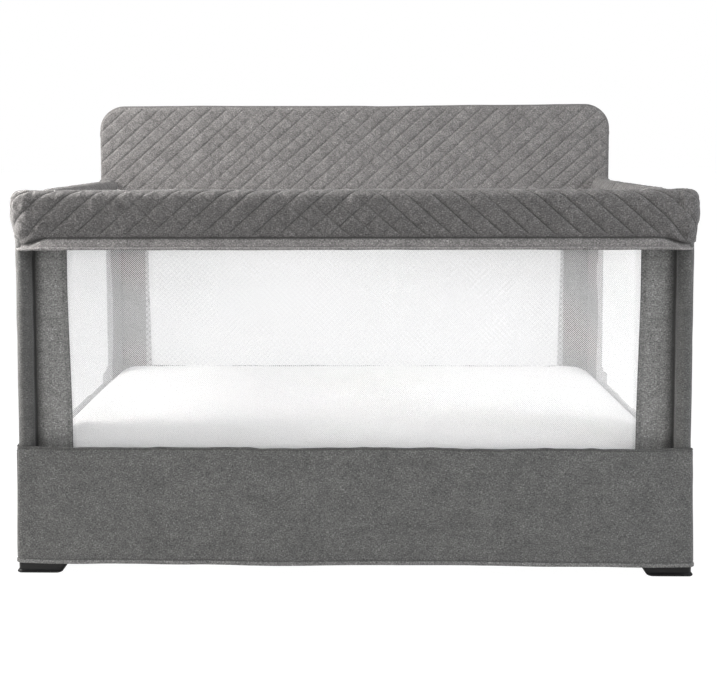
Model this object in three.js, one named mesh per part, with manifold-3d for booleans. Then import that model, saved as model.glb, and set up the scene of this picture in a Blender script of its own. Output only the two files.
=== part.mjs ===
// A folding travel crib: a rear frame with a tall padded headboard, a front frame, folding side
// rails and a folding floor, covered in quilted and plain fabric with mesh windows.
// Millimetres, +Z up, +X to the right of a person facing the front, the front towards -Y.
// The origin is the middle of the footprint, on the floor.
import * as THREE from 'three';
import { mergeVertices } from 'three/addons/utils/BufferGeometryUtils.js';
import Module from 'manifold-3d';

const wasm = await Module();
wasm.setup();

// ---- driving dimensions ----
const GAP = 0.3;                 // between pieces that touch
const LOOSE = 0.5;               // between fabric pieces, which are never tight
const PAST = 1;                  // how far a cutting tool, or a piece that is joined, reaches past

// padded rim and headboard
const COVER_X = 511;             // half of the width over the rim covers
const COVER_Y = 360;             // half of the depth over the rim covers
const COVER_TOP = 581;
const COVER_BOTTOM = 490;
const COVER_WALL = 6;
const COVER_INSIDE_X = 474;      // inner face of a side cover
const COVER_INSIDE_Y = 318;      // inner face of the front cover
const COVER_RETURN_END = 232;    // the corner covers reach this far round the sides
const COVER_CORNER_R = 14;
const HEAD_TOP = 727;
const HEAD_FRONT_Y = 328;
const HEAD_CORNER_R = 50;
const HEAD_WALL = 4;
const HEAD_HOLLOW_X = 503.5;     // the headboard's hollow leaves room for the hoop and its board
const HEAD_HOLLOW_CORNER_R = 57;
const CHANNEL_OVERLAP = 8;       // the hollows of the front cover and of its returns run together

// steel tube frame
const TUBE_R = 7.5;
const TUBE_BORE_R = 6.3;
const TUBE_SIDES = 16;
const POST_X = 492.5;
const POST_Y = 340;
const POST_BOTTOM = 13;
const FRONT_POST_TOP = 555.5;
const REAR_POST_TOP = 600;
const RAIL_Z = 545;
const HOOP_TOP_Z = 714;
const HOOP_BEND_R = 50;

// folding linkage: every hinge axis runs along X
const PIVOT_Y = 255;             // end hinges of the floor and of the side rails
const FLOOR_AXIS_Z = 150;
const RAIL_AXIS_Z = 560;
const PIN_R = 3;
const PIN_HOLE_R = 3.3;
const OPEN_PIN_HOLE_R = 4.5;     // the pivot where the linkage is opened has extra room
const EYE_R = 9;

// sleeping surface
const PAD_TOP = 204;
const PAD_THICK = 34;
const PAD_X = 468;
const PAD_Y = 325;
const PAD_CHAMFER = 22;
const BOARD_THICK = 8;
const BOARD_X = 462;
const BOARD_Y = 318;

// fabric walls
const SLEEVE_X = [483.5, 503.5];
const SLEEVE_Y = [330, 350];
const SLEEVE_TOP = 505;
const HEM_END_X = 479.5;         // the band reaches above and below the sleeve up to here
const BAND_Y = [333, 335];
const BAND_EDGE_X = 415;         // the mesh window starts here
const WALL_BOTTOM = 168;
const WALL_TOP = 520;
const SIDE_WALL_X = [472, 473.5];
const SIDE_WALL_Y = 331;
const SIDE_WALL_TOP = COVER_BOTTOM - 1;
const SKIRT_BOTTOM = 18;
const SKIRT_TOP = 196;
const SIDE_SKIRT_TOP = 182;      // lower than the mattress, so it doesn't show through the mesh
const SKIRT_X = [502, 503.5];
const SKIRT_Y = [350.5, 352];

// ---- materials ----
const paint = (color, roughness, metalness = 0) =>
  new THREE.MeshStandardMaterial({ color, roughness, metalness });
const QUILTED = paint(0x64605f, 0.95);
const WOVEN = paint(0x6c6b6a, 0.95);
const MESH = paint(0xf2f2f2, 0.8);
const SHEET = paint(0xf5f5f4, 0.9);
const STEEL = paint(0x3a3b3d, 0.45, 0.7);
const PIN_STEEL = paint(0xb4b6b8, 0.3, 1);
const BLACK = paint(0x1c1c1d, 0.5);
const GREY_PLASTIC = paint(0x4a4b4d, 0.5);
const BOARD = paint(0x8a6f52, 0.8);

// ---- geometry helpers ----

/** Leaves only merged positions, which is what a closed solid needs. */
function bare(geometry) {
  for (const name of Object.keys(geometry.attributes)) {
    if (name !== 'position') geometry.deleteAttribute(name);
  }
  return mergeVertices(geometry, 1e-4);
}

function box([x0, x1], [y0, y1], [z0, z1]) {
  const g = new THREE.BoxGeometry(x1 - x0, y1 - y0, z1 - z0);
  return bare(g.translate((x0 + x1) / 2, (y0 + y1) / 2, (z0 + z1) / 2));
}

/** Extrudes a shape along an axis. It is drawn in (y, z) for x, (x, z) for y and (x, y) for z. */
function extrude(shape, axis, from, to, curveSegments = 6) {
  const g = new THREE.ExtrudeGeometry(shape, {
    depth: to - from, bevelEnabled: false, curveSegments });
  const m = new THREE.Matrix4();
  if (axis === 'x') m.makeBasis(vec(0, 1, 0), vec(0, 0, 1), vec(1, 0, 0)).setPosition(from, 0, 0);
  if (axis === 'y') m.makeBasis(vec(1, 0, 0), vec(0, 0, 1), vec(0, -1, 0)).setPosition(0, to, 0);
  if (axis === 'z') m.makeTranslation(0, 0, from);
  return bare(g.applyMatrix4(m));
}

const vec = (x, y, z = 0) => new THREE.Vector3(x, y, z);

function polygon(points) {
  return new THREE.Shape(points.map(([u, v]) => new THREE.Vector2(u, v)));
}

/** A round disc, drawn so that its corners lie on the radius. */
function disc(u, v, r) {
  return new THREE.Shape().absarc(u, v, r, 0, 2 * Math.PI);
}

function rod(axis, r, from, to, [u, v], sides = TUBE_SIDES) {
  return extrude(disc(u, v, r), axis, from, to, sides / 2);
}

function tube(axis, from, to, [u, v]) {
  const ring = disc(u, v, TUBE_R);
  ring.holes.push(disc(u, v, TUBE_BORE_R));
  return extrude(ring, axis, from, to, TUBE_SIDES / 2);
}

/** A rectangle with the radius on the corners named: bl, br, tr, tl. */
function roundedRectangle([u0, u1], [v0, v1], r, corners) {
  const s = new THREE.Shape();
  const at = (name) => (corners.includes(name) ? r : 0);
  s.moveTo(u0 + at('bl'), v0);
  s.lineTo(u1 - at('br'), v0);
  if (at('br')) s.absarc(u1 - r, v0 + r, r, -Math.PI / 2, 0);
  s.lineTo(u1, v1 - at('tr'));
  if (at('tr')) s.absarc(u1 - r, v1 - r, r, 0, Math.PI / 2);
  s.lineTo(u0 + at('tl'), v1);
  if (at('tl')) s.absarc(u0 + r, v1 - r, r, Math.PI / 2, Math.PI);
  s.lineTo(u0, v0 + at('bl'));
  if (at('bl')) s.absarc(u0 + r, v0 + r, r, Math.PI, 1.5 * Math.PI);
  return s;
}

function manifold(geometry) {
  return new wasm.Manifold(new wasm.Mesh({
    numProp: 3,
    vertProperties: new Float32Array(geometry.attributes.position.array),
    triVerts: new Uint32Array(geometry.index.array),
  }));
}

function fromManifold(solid) {
  const mesh = solid.getMesh();
  const g = new THREE.BufferGeometry();
  g.setAttribute('position', new THREE.BufferAttribute(mesh.vertProperties.slice(), 3));
  g.setIndex(new THREE.BufferAttribute(mesh.triVerts.slice(), 1));
  return g;
}

const join = (first, ...rest) =>
  fromManifold(rest.reduce((sum, g) => sum.add(manifold(g)), manifold(first)));
const cut = (body, ...tools) =>
  fromManifold(tools.reduce((left, g) => left.subtract(manifold(g)), manifold(body)));

/** A copy mirrored across the planes whose sign is -1, with its faces still pointing out. */
function mirrored(geometry, signX, signY) {
  const g = geometry.clone().scale(signX, signY, 1);
  if (signX * signY < 0) {
    const i = g.index.array;
    for (let k = 0; k < i.length; k += 3) [i[k], i[k + 1]] = [i[k + 1], i[k]];
  }
  return g;
}

const crib = new THREE.Group();

function add(name, geometry, material) {
  const faceted = geometry.toNonIndexed();
  faceted.computeVertexNormals();
  const mesh = new THREE.Mesh(faceted, material);
  mesh.name = name;
  crib.add(mesh);
}

const SIDES = [['left', -1], ['right', 1]];
const ENDS = [['front', -1], ['rear', 1]];

/** Adds a piece drawn in the right rear corner to all four corners. */
function addToCorners(name, geometry, material) {
  for (const [end, signY] of ENDS) {
    for (const [side, signX] of SIDES) {
      add(`${end}_${side}_${name}`, mirrored(geometry, signX, signY), material);
    }
  }
}

// ---- posts, cross tubes and headboard hoop ----

for (const [side, signX] of SIDES) {
  const front = tube('z', POST_BOTTOM, FRONT_POST_TOP, [signX * POST_X, -POST_Y]);
  const rear = tube('z', POST_BOTTOM, REAR_POST_TOP, [signX * POST_X, POST_Y]);
  add(`front_${side}_post`, front, STEEL);
  add(`rear_${side}_post`, rear, STEEL);
}

const FRONT_RAIL_END = 480.5;
add('front_rail_tube', tube('x', -FRONT_RAIL_END, FRONT_RAIL_END, [-POST_Y, RAIL_Z]), STEEL);

const CROSS_TUBE_END = 482;
for (const [end, signY] of ENDS) {
  const at = [signY * PIVOT_Y, FLOOR_AXIS_Z];
  add(`${end}_cross_tube`, tube('x', -CROSS_TUBE_END, CROSS_TUBE_END, at), STEEL);
}

/** The centre line of the hoop: up, round, across, round and down, stepped only at its bends. */
class HoopLine extends THREE.Curve {
  constructor() {
    super();
    const bendSteps = 5;
    const bendX = POST_X - HOOP_BEND_R;
    const bendZ = HOOP_TOP_Z - HOOP_BEND_R;
    this.stops = [[vec(-POST_X, POST_Y, REAR_POST_TOP + GAP), vec(0, 0, 1)]];
    for (const signX of [-1, 1]) {
      for (let i = 0; i <= bendSteps; i++) {
        const turn = (i / bendSteps) * (Math.PI / 2);
        const a = signX < 0 ? Math.PI - turn : Math.PI / 2 - turn;
        this.stops.push([
          vec(signX * bendX + HOOP_BEND_R * Math.cos(a), POST_Y, bendZ + HOOP_BEND_R * Math.sin(a)),
          vec(Math.sin(a), 0, -Math.cos(a))]);
      }
    }
    this.stops.push([vec(POST_X, POST_Y, REAR_POST_TOP + GAP), vec(0, 0, -1)]);
    this.steps = this.stops.length - 1;
  }
  getPointAt(t) { return this.stops[Math.round(t * this.steps)][0].clone(); }
  getTangentAt(t) { return this.stops[Math.round(t * this.steps)][1].clone(); }
}

const hoopLine = new HoopLine();
const hoopSection = disc(0, 0, TUBE_R);
hoopSection.holes.push(disc(0, 0, TUBE_BORE_R));
add('headboard_hoop', bare(new THREE.ExtrudeGeometry(hoopSection, {
  steps: hoopLine.steps, extrudePath: hoopLine, curveSegments: TUBE_SIDES / 2 })), STEEL);

// ---- headboard board and its quilted cover ----

const HEAD_BOARD_X = 500;
const HEAD_BOARD_Y = [350.5, 354.5];
const HEAD_BOARD_Z = [496, 720];
const HEAD_BOARD_CORNER_R = 52;
const headBoard = roundedRectangle([-HEAD_BOARD_X, HEAD_BOARD_X], HEAD_BOARD_Z,
  HEAD_BOARD_CORNER_R, ['tl', 'tr']);
add('headboard_panel', extrude(headBoard, 'y', ...HEAD_BOARD_Y), BOARD);

/** The open channel that a corner cover makes round the side, drawn on the right at the rear. */
function returnOutside(fromY) {
  return box([COVER_INSIDE_X, COVER_X], [COVER_RETURN_END, fromY], [COVER_BOTTOM, COVER_TOP]);
}
function returnInside(toY) {
  return box([COVER_INSIDE_X + COVER_WALL, COVER_X - COVER_WALL],
    [COVER_RETURN_END - PAST, toY], [COVER_BOTTOM - PAST, COVER_TOP - COVER_WALL]);
}

function headboardCover() {
  const outline = roundedRectangle([-COVER_X, COVER_X], [COVER_BOTTOM, HEAD_TOP],
    HEAD_CORNER_R, ['tl', 'tr']);
  const hollow = roundedRectangle([-HEAD_HOLLOW_X, HEAD_HOLLOW_X],
    [COVER_BOTTOM - PAST, HEAD_TOP - HEAD_WALL], HEAD_HOLLOW_CORNER_R, ['tl', 'tr']);
  const outside = extrude(outline, 'y', HEAD_FRONT_Y, COVER_Y);
  const inside = extrude(hollow, 'y', HEAD_FRONT_Y + HEAD_WALL, COVER_Y - HEAD_WALL);
  const returns = SIDES.map(([, s]) => mirrored(returnOutside(HEAD_FRONT_Y + PAST), s, 1));
  const channels = SIDES.map(([, s]) => mirrored(returnInside(POST_Y), s, 1));
  return cut(join(outside, ...returns), inside, ...channels);
}
add('headboard_cover', headboardCover(), QUILTED);

// ---- front rail cover: an inverted channel that turns both corners ----

function frontRailCover() {
  const bar = roundedRectangle([-COVER_X, COVER_X], [-COVER_Y, -COVER_INSIDE_Y],
    COVER_CORNER_R, ['bl', 'br']);
  const hollow = roundedRectangle([-COVER_X + COVER_WALL, COVER_X - COVER_WALL],
    [-COVER_Y + COVER_WALL, -COVER_INSIDE_Y - COVER_WALL],
    COVER_CORNER_R - COVER_WALL, ['bl', 'br']);
  const outside = extrude(bar, 'z', COVER_BOTTOM, COVER_TOP);
  const inside = extrude(hollow, 'z', COVER_BOTTOM - PAST, COVER_TOP - COVER_WALL);
  const returns = SIDES.map(([, s]) => mirrored(returnOutside(COVER_INSIDE_Y + PAST), s, -1));
  const channels = SIDES.map(([, s]) =>
    mirrored(returnInside(COVER_INSIDE_Y + CHANNEL_OVERLAP), s, -1));
  return cut(join(outside, ...returns), inside, ...channels);
}
add('front_rail_cover', frontRailCover(), QUILTED);

// ---- rim corner brackets, with the tongue and trunnion that a side rail turns on ----

const REAR_BRACKET_X = [482.5, 503];
const REAR_BRACKET_Y = [326, 350];
const FRONT_BRACKET_X = [460, 502];
const FRONT_BRACKET_Y = [328, 349.5];
const BRACKET_Z = [531, 569];
const BRACKET_HOLE_Z = [500, 600];
const TONGUE_X = [489, 496];
const TRUNNION_X = [483, 502];
const POST_HOLE_R = TUBE_R + GAP;

function bracketTongue(fromY) {
  const bar = box(TONGUE_X, [PIVOT_Y, fromY], [RAIL_AXIS_Z - EYE_R, RAIL_AXIS_Z + EYE_R]);
  const eye = rod('x', EYE_R, ...TONGUE_X, [PIVOT_Y, RAIL_AXIS_Z]);
  const trunnion = rod('x', PIN_R, ...TRUNNION_X, [PIVOT_Y, RAIL_AXIS_Z]);
  return join(bar, eye, trunnion);
}

function rearBracket() {
  const block = box(REAR_BRACKET_X, REAR_BRACKET_Y, BRACKET_Z);
  const post = rod('z', POST_HOLE_R, ...BRACKET_HOLE_Z, [POST_X, POST_Y]);
  return cut(join(block, bracketTongue(REAR_BRACKET_Y[0] + PAST)), post);
}

function frontBracket() {
  const block = box(FRONT_BRACKET_X, FRONT_BRACKET_Y, BRACKET_Z);
  const post = rod('z', POST_HOLE_R, BRACKET_HOLE_Z[0], FRONT_POST_TOP + GAP, [POST_X, POST_Y]);
  const railFrom = FRONT_BRACKET_X[0] - PAST;
  const rail = rod('x', POST_HOLE_R, railFrom, FRONT_RAIL_END + GAP, [POST_Y, RAIL_Z]);
  return cut(join(block, bracketTongue(FRONT_BRACKET_Y[0] + PAST)), post, rail);
}

for (const [side, signX] of SIDES) {
  add(`rear_${side}_rim_bracket`, mirrored(rearBracket(), signX, 1), BLACK);
  add(`front_${side}_rim_bracket`, mirrored(frontBracket(), signX, -1), BLACK);
}

// ---- feet and floor tube brackets ----

// In x and z: the bead round the sole, the outer face, a step in behind the side skirt, the top,
// and the inner end, which slopes down and is cut back above the floor.
const FOOT_OUTLINE = [
  [446, 0], [504, 0], [506, 1], [507, 3], [506, 5], [505, 6.2], [505, 16], [501.4, 17],
  [501.4, 58], [474, 58], [428, 40], [424, 34], [424, 24], [438, 4.5], [441, 1.5]];
const FOOT_Y = [276, 349.8];
const FOOT_SOCKET_TOP = 70;

function foot() {
  const body = extrude(polygon(FOOT_OUTLINE), 'y', ...FOOT_Y);
  const socket = rod('z', POST_HOLE_R, POST_BOTTOM - GAP, FOOT_SOCKET_TOP, [POST_X, POST_Y]);
  return cut(body, socket);
}
addToCorners('foot', foot(), BLACK);

const FLOOR_BRACKET_Z = [138, 162];
const FLOOR_ARM_X = [474.3, 482.5];
const FLOOR_ARM_Y = [PIVOT_Y - 12, POST_Y];
const FLOOR_SADDLE_Y = [328, 349.5];

/** An arm from the post to the cross tube's end. Its saddle holds half of the post. */
function floorBracket() {
  const [z0, z1] = FLOOR_BRACKET_Z;
  const arm = box(FLOOR_ARM_X, FLOOR_ARM_Y, FLOOR_BRACKET_Z);
  const saddle = box([FLOOR_ARM_X[0], POST_X], FLOOR_SADDLE_Y, FLOOR_BRACKET_Z);
  const post = rod('z', POST_HOLE_R, z0 - PAST, z1 + PAST, [POST_X, POST_Y]);
  const [x0, x1] = FLOOR_ARM_X;
  const crossTube = rod('x', POST_HOLE_R, x0 - PAST, x1 + PAST, [PIVOT_Y, FLOOR_AXIS_Z]);
  return cut(join(arm, saddle), post, crossTube);
}
addToCorners('floor_bracket', floorBracket(), BLACK);

// ---- folding side rails ----

const RAIL_TUBE_ENDS = [18, 240];
const CHEEK_X = [[485, 487.7], [497.3, 500]];
const HINGE_BLOCK_X = [484.5, 500.5];
const HINGE_BLOCK_Y = [12, 40];
const HINGE_BLOCK_Z = [530, 556];
const HINGE_BORE_END = 60;
const HOUSING_EYES_X = [[484.5, 488.2], [496.8, 500.5]];
const ACROSS_RAIL_X = [480, 505];        // right through a side rail
const EYE_STEPS = 8;

// In y and z: the edges of the plates below and behind their eyes.
const RAIL_PLATE_TAIL = [[240, 556], [226, 556], [226, 538], [245, 538]];
const HINGE_STRAP = [[6, 540], [13, 538], [13, 556]];

/** A half rail: a tube with a pair of eye plates that straddle the bracket's tongue. */
function sideRailTube(holeR) {
  const plate = new THREE.Shape();
  plate.absarc(PIVOT_Y, RAIL_AXIS_Z, EYE_R, -Math.PI / 3, 0.75 * Math.PI);
  for (const [y, z] of RAIL_PLATE_TAIL) plate.lineTo(y, z);
  const plates = CHEEK_X.map(([x0, x1]) => extrude(plate, 'x', x0, x1, EYE_STEPS));
  const hole = rod('x', holeR, ...ACROSS_RAIL_X, [PIVOT_Y, RAIL_AXIS_Z]);
  return cut(join(tube('y', ...RAIL_TUBE_ENDS, [POST_X, RAIL_Z]), ...plates), hole);
}

/** An eye round the centre hinge's axis, with the strap that ties it to its block. */
function hingeEye([x0, x1]) {
  const s = new THREE.Shape();
  s.absarc(0, RAIL_AXIS_Z, EYE_R, 0.35 * Math.PI, 1.5 * Math.PI);
  for (const [y, z] of HINGE_STRAP) s.lineTo(y, z);
  return extrude(s, 'x', x0, x1, EYE_STEPS);
}

function hingeBlock(...eyes) {
  const block = box(HINGE_BLOCK_X, HINGE_BLOCK_Y, HINGE_BLOCK_Z);
  const bore = rod('y', POST_HOLE_R, RAIL_TUBE_ENDS[0] - GAP, HINGE_BORE_END, [POST_X, RAIL_Z]);
  const pinHole = rod('x', PIN_HOLE_R, ...ACROSS_RAIL_X, [0, RAIL_AXIS_Z]);
  return cut(join(block, ...eyes.map(hingeEye)), bore, pinHole);
}

const BUTTON_Y = 29;
const BUTTON_R = 5;
const BUTTON_Z = [523, 531.5];
const BUTTON_PLAY = 0.4;
const BUTTON_POCKET_Z = [520, 540];

function hingeHousing() {
  const pocket = rod('z', BUTTON_R + BUTTON_PLAY, ...BUTTON_POCKET_Z, [POST_X, BUTTON_Y]);
  return cut(hingeBlock(...HOUSING_EYES_X), pocket);
}

function lockButton() {
  return rod('z', BUTTON_R, ...BUTTON_Z, [POST_X, BUTTON_Y]);
}

const HALF_COVER_X = [480.5, 504.5];
const HALF_COVER_WALL = 4;
const HALF_COVER_Y = [48, 243];
const HALF_COVER_Z = [492, 568];

/** The padded channel over a half rail; its ends slide inside the corner covers. */
function halfRailCover() {
  const [x0, x1] = HALF_COVER_X;
  const [z0, z1] = HALF_COVER_Z;
  const outside = box([x0, x1], HALF_COVER_Y, [z0, z1]);
  const inside = box([x0 + HALF_COVER_WALL, x1 - HALF_COVER_WALL],
    [HALF_COVER_Y[0] - PAST, HALF_COVER_Y[1] + PAST], [z0 - PAST, z1 - HALF_COVER_WALL]);
  return cut(outside, inside);
}

for (const [side, signX] of SIDES) {
  const put = (name, geometry, signY, material) =>
    add(`${side}_${name}`, mirrored(geometry, signX, signY), material);
  put('rail_rear_tube', sideRailTube(PIN_HOLE_R), 1, STEEL);
  put('rail_front_tube', sideRailTube(OPEN_PIN_HOLE_R), -1, STEEL);
  put('hinge_housing', hingeHousing(), 1, GREY_PLASTIC);
  put('hinge_tongue', hingeBlock(TONGUE_X), -1, GREY_PLASTIC);
  put('hinge_pin', rod('x', PIN_R, ...TRUNNION_X, [0, RAIL_AXIS_Z]), 1, PIN_STEEL);
  put('lock_button', lockButton(), 1, BLACK);
  put('rail_rear_cover', halfRailCover(), 1, QUILTED);
  put('rail_front_cover', halfRailCover(), -1, QUILTED);
}

// ---- folding floor ----

const CENTRE_GAP = 0.5;
const PAD_BOTTOM = PAD_TOP - PAD_THICK;
const BOARD_TOP = PAD_BOTTOM - LOOSE;
const BOARD_BOTTOM = BOARD_TOP - BOARD_THICK;
const PLATE_TOP = BOARD_BOTTOM - GAP;
const PLATE_THICK = 2.4;
const PLATE_BOTTOM = PLATE_TOP - PLATE_THICK;

/** Half of the mattress. Its outer top edge is cut back so that it clears the wall as it turns. */
function halfPad() {
  const outline = polygon([
    [CENTRE_GAP, PAD_BOTTOM], [PAD_Y, PAD_BOTTOM], [PAD_Y, PAD_TOP - PAD_CHAMFER],
    [PAD_Y - PAD_CHAMFER, PAD_TOP], [CENTRE_GAP, PAD_TOP]]);
  return extrude(outline, 'x', -PAD_X, PAD_X);
}

const SLEEVE_HALF_LENGTH = 150;
const SLEEVE_OUTER_R = TUBE_R + 3.3;
const SLEEVE_BORE_R = TUBE_R + 0.4;
const STRIP_Y = [PIVOT_Y - 45, PIVOT_Y + 30];

/** A strip under the floor board with a sleeve that turns on the cross tube. */
function floorHinge() {
  const x = SLEEVE_HALF_LENGTH;
  const sleeve = rod('x', SLEEVE_OUTER_R, -x, x, [PIVOT_Y, FLOOR_AXIS_Z]);
  const strip = box([-x, x], STRIP_Y, [PLATE_BOTTOM, PLATE_TOP]);
  const bore = rod('x', SLEEVE_BORE_R, -x - PAST, x + PAST, [PIVOT_Y, FLOOR_AXIS_Z]);
  return cut(join(sleeve, strip), bore);
}

const LEAF_HALF_LENGTH = 200;
const LEAF_Y = [1.5, 42];
const KNUCKLE_R = 5.5;
const KNUCKLE_BORE_R = 2.8;
const KNUCKLE_LENGTH = 80;
const KNUCKLE_WEB_Y = [1.5, 5];
const KNUCKLE_PLACES = { front: [-80, 80], rear: [-160, 0, 160] };
const CENTRE_PIN_R = 2.5;
const CENTRE_PIN_END = 202;
const SMALL_ROD_SIDES = 12;

/** A leaf of the floor's centre hinge. Its knuckles stand at the places given along X. */
function centreLeaf(places) {
  const axis = [0, FLOOR_AXIS_Z];
  const plate = box([-LEAF_HALF_LENGTH, LEAF_HALF_LENGTH], LEAF_Y, [PLATE_BOTTOM, PLATE_TOP]);
  const knuckles = places.flatMap((x) => {
    const [x0, x1] = [x - KNUCKLE_LENGTH / 2 + LOOSE, x + KNUCKLE_LENGTH / 2 - LOOSE];
    return [rod('x', KNUCKLE_R, x0, x1, axis, SMALL_ROD_SIDES),
      box([x0, x1], KNUCKLE_WEB_Y, [FLOOR_AXIS_Z, PLATE_TOP])];
  });
  const boreEnd = LEAF_HALF_LENGTH + PAST;
  const bore = rod('x', KNUCKLE_BORE_R, -boreEnd, boreEnd, axis, SMALL_ROD_SIDES);
  return cut(join(plate, ...knuckles), bore);
}

for (const [end, signY] of ENDS) {
  const put = (name, geometry, material) =>
    add(`${end}_${name}`, mirrored(geometry, 1, signY), material);
  const board = box([-BOARD_X, BOARD_X], [CENTRE_GAP, BOARD_Y], [BOARD_BOTTOM, BOARD_TOP]);
  put('mattress_half', halfPad(), SHEET);
  put('floor_board', board, BOARD);
  put('floor_hinge', floorHinge(), GREY_PLASTIC);
  put('centre_hinge_leaf', centreLeaf(KNUCKLE_PLACES[end]), PIN_STEEL);
}
add('centre_hinge_pin', rod('x', CENTRE_PIN_R, -CENTRE_PIN_END, CENTRE_PIN_END,
  [0, FLOOR_AXIS_Z], SMALL_ROD_SIDES), PIN_STEEL);

// ---- fabric walls, mesh windows and skirts ----

/** A post sleeve and the plain band beside the mesh window, sewn as one piece. */
function cornerFabric() {
  const z = [SKIRT_TOP + LOOSE, SLEEVE_TOP];
  const sleeve = box(SLEEVE_X, SLEEVE_Y, z);
  const band = box([BAND_EDGE_X, SLEEVE_X[0] + PAST], BAND_Y, z);
  const hem = box([BAND_EDGE_X, HEM_END_X], BAND_Y, [WALL_BOTTOM, WALL_TOP]);
  const post = rod('z', POST_HOLE_R, WALL_BOTTOM, SLEEVE_TOP + PAST, [POST_X, POST_Y]);
  return cut(join(sleeve, band, hem), post);
}
addToCorners('corner_fabric', cornerFabric(), WOVEN);

for (const [end, signY] of ENDS) {
  const meshX = BAND_EDGE_X - GAP;
  const window = box([-meshX, meshX], BAND_Y, [WALL_BOTTOM, WALL_TOP]);
  const skirt = box([-SKIRT_X[1], SKIRT_X[1]], SKIRT_Y, [SKIRT_BOTTOM, SKIRT_TOP]);
  add(`${end}_mesh`, mirrored(window, 1, signY), MESH);
  add(`${end}_skirt`, mirrored(skirt, 1, signY), WOVEN);
}

for (const [side, signX] of SIDES) {
  const wall = box(SIDE_WALL_X, [-SIDE_WALL_Y, SIDE_WALL_Y], [WALL_BOTTOM, SIDE_WALL_TOP]);
  const skirtEnd = SKIRT_Y[0] - GAP;
  const skirt = box(SKIRT_X, [-skirtEnd, skirtEnd], [SKIRT_BOTTOM, SIDE_SKIRT_TOP]);
  add(`${side}_side_mesh`, mirrored(wall, signX, 1), MESH);
  add(`${side}_side_skirt`, mirrored(skirt, signX, 1), WOVEN);
}

export default crib;
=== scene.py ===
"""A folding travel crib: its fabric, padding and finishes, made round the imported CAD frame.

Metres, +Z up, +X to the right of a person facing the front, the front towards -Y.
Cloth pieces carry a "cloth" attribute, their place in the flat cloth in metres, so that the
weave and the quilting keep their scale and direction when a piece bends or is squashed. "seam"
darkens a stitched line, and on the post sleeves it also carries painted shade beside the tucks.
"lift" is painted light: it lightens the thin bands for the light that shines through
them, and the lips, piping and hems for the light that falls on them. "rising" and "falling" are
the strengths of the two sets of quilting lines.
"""

import math

import bmesh
import bpy
import numpy as np
from mathutils import Matrix, Vector


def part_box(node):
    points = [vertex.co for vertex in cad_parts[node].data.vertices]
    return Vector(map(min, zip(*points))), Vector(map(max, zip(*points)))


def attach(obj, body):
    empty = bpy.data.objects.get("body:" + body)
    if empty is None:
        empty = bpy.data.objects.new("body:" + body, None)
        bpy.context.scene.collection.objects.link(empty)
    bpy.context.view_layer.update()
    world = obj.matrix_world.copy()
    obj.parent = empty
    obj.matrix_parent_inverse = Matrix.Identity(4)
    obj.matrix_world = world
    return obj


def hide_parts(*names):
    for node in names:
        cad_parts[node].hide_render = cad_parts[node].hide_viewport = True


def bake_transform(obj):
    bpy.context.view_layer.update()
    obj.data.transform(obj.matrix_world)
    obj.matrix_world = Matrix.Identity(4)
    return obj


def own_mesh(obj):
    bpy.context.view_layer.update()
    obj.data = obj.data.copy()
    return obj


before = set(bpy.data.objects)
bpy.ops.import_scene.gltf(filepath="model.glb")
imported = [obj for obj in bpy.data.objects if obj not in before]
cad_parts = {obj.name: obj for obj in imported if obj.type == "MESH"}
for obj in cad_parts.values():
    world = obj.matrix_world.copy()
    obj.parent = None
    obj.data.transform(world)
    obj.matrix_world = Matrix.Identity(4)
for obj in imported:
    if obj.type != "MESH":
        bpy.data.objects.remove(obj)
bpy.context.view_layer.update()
MM = 0.001
SIDES = (("left", -1), ("right", 1))
ENDS = (("front", -1), ("rear", 1))
UP = (0, 0, 1)


# ---- camera, light and floor ----

def make_camera():
    """At the front, a little above the rim. It is shifted more than tilted, so posts stay upright."""
    yaw, pitch, roll = (math.radians(a) for a in (-1.56, 4.0, -0.19))
    forward = Vector((math.sin(yaw) * math.cos(pitch), math.cos(yaw) * math.cos(pitch), -math.sin(pitch)))
    level = Vector((math.cos(yaw), -math.sin(yaw), 0))
    right = level * math.cos(roll) + level.cross(forward) * math.sin(roll)
    up = right.cross(forward)
    data = bpy.data.cameras.new("camera")
    data.sensor_width = 36
    data.lens = 63.06
    data.shift_x = 0.0498
    data.shift_y = -0.1623
    camera = bpy.data.objects.new("camera", data)
    bpy.context.scene.collection.objects.link(camera)
    turned = Matrix((right, up, -forward)).transposed().to_4x4()
    camera.matrix_world = Matrix.Translation((0.007, -2.202, 0.645)) @ turned
    bpy.context.scene.camera = camera


def area_light(name, place, aim, size, power, colour, spread=180):
    data = bpy.data.lights.new(name, "AREA")
    data.shape = "DISK"
    data.size = size
    data.energy = power
    data.color = colour
    data.spread = math.radians(spread)
    light = bpy.data.objects.new(name, data)
    bpy.context.scene.collection.objects.link(light)
    light.visible_camera = False
    light.location = place
    light.rotation_mode = "QUATERNION"
    light.rotation_quaternion = (Vector(aim) - Vector(place)).to_track_quat("-Z", "Y")


def make_lights():
    """A high soft light in front, warm ones from the left, and weaker ones in front and on the right."""
    warm, cool, plain = (1.0, 0.972, 0.945), (0.945, 0.965, 1.0), (1.0, 0.995, 0.985)
    area_light("top", (-0.25, -1.0, 2.3), (0, -0.1, 0.4), 1.3, 24, plain)
    area_light("key", (-1.3, -0.22, 1.15), (0, 0.25, 0.5), 0.6, 24, warm)
    area_light("inside", (-0.5, -0.15, 1.7), (0, 0.2, 0.5), 0.7, 5, warm)
    area_light("front", (-0.9, -3.2, 1.5), (0, 0, 0.3), 1.6, 29, plain)
    area_light("right", (1.9, -0.9, 1.25), (0.2, 0, 0.5), 0.8, 21, cool)
    area_light("edge", (-2.0, -0.36, 0.8), (-0.5, -0.36, 0.68), 0.2, 3.5, warm, spread=40)


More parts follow.
